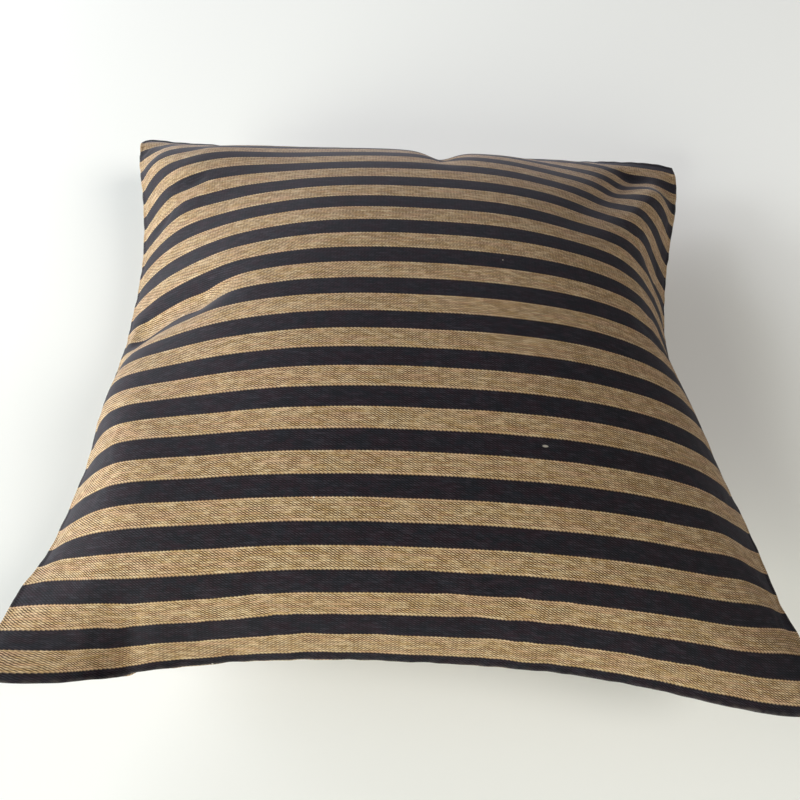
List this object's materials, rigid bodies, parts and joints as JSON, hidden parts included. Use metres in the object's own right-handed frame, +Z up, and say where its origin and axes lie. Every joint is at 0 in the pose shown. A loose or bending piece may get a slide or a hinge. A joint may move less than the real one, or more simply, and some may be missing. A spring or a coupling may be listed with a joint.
{
  "type": "square striped cushion",
  "caption": "Filled square scatter cushion with a knife edge, drawn-in sides and corner ears, lying on its back; it softens a seat or supports the back.",
  "frame": {"origin": "on the surface the cushion rests on, under the middle of its bounding box", "axes": "+Z up through the thickness, +Y from the near edge to the far edge, +X to the right along the stripes"},
  "size_m": [0.4622, 0.4512, 0.1334],
  "materials": {
    "striped_cotton": "matt cotton twill in even black and tan stripes"
  },
  "bodies": {
    "root": {"cushion": "striped_cotton"}
  },
  "joints": []
}
